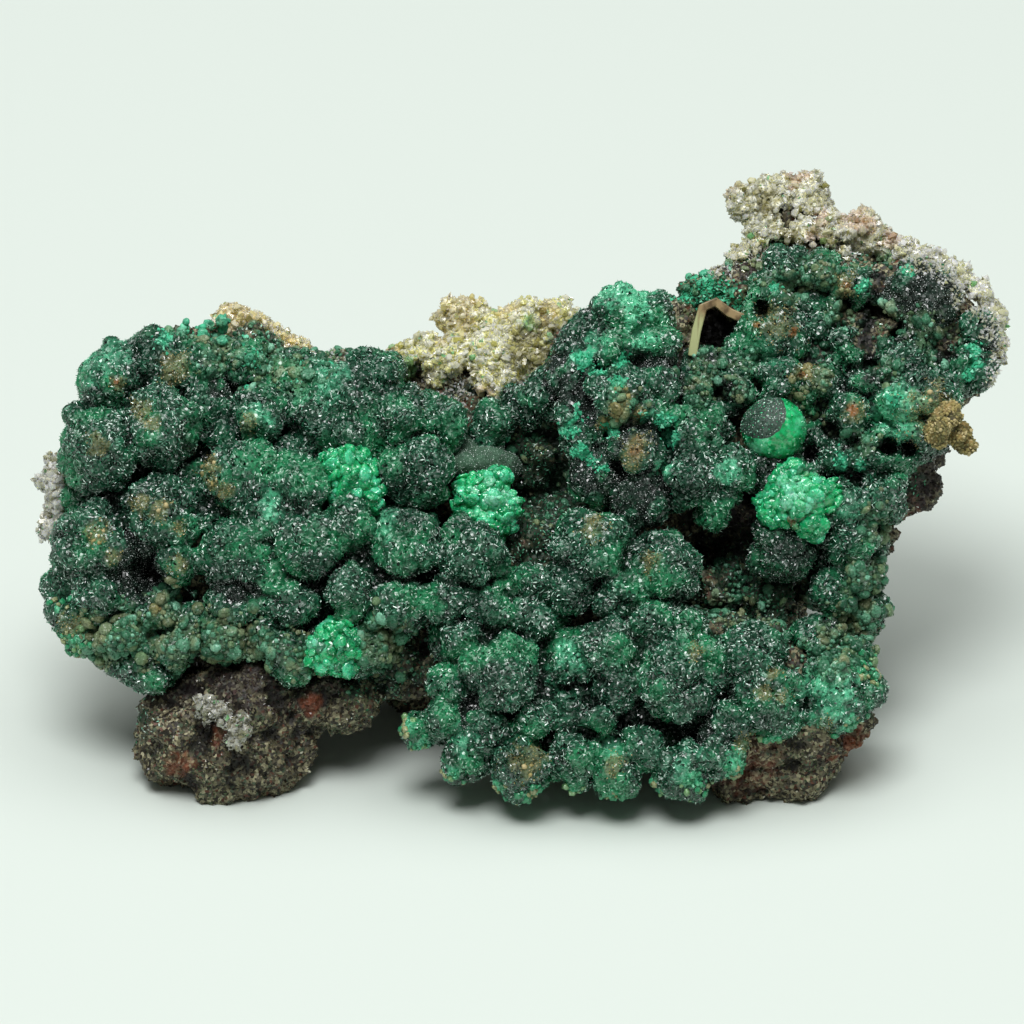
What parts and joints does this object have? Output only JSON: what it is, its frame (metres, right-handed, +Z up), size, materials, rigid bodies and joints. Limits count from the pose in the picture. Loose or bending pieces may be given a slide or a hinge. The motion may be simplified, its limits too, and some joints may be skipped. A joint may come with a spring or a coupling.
{
  "type": "mineral specimen",
  "caption": "Green zincolivenite crust of grown-together balls with quartz druses on a brown gossan matrix that stands on three flat feet.",
  "frame": {"origin": "middle of the specimen's box in X and Y, on the plane of its feet at Z 0", "axes": "+X along the specimen's length, +Z up, and the display face looks towards -Y and leans back"},
  "size_m": [0.049, 0.0262, 0.0241],
  "materials": {
    "gossan": "rough broken brown-black iron oxide rock",
    "yellow_quartz": "translucent crystal druse stained yellow",
    "clear_quartz": "translucent pale crystal druse",
    "boxwork": "thin tan plates",
    "green_crust": "sparkling bottle-green crystal crust",
    "grey_crust": "dull grey-green coating",
    "bright_green": "vivid glassy emerald-green crystals",
    "limonite": "earthy ochre coating"
  },
  "bodies": {
    "root": {"gossan_matrix": "gossan", "quartz_saddle": "yellow_quartz", "quartz_left_ridge": "yellow_quartz", "quartz_peak": "clear_quartz", "quartz_right_rim": "clear_quartz", "quartz_left_edge": "clear_quartz", "quartz_foot_patch": "clear_quartz", "boxwork_cast": "boxwork", "front_crust": "green_crust", "mound_crust": "green_crust", "right_crust": "green_crust", "upper_right_crust": "green_crust", "gully_oval": "grey_crust", "bright_ball_left": "bright_green", "bright_ball_low": "bright_green", "bright_ball_middle": "bright_green", "bright_ball_right": "bright_green", "half_bright_ball": "bright_green", "gap_ball": "bright_green", "limonite_knob": "limonite"}
  },
  "joints": []
}
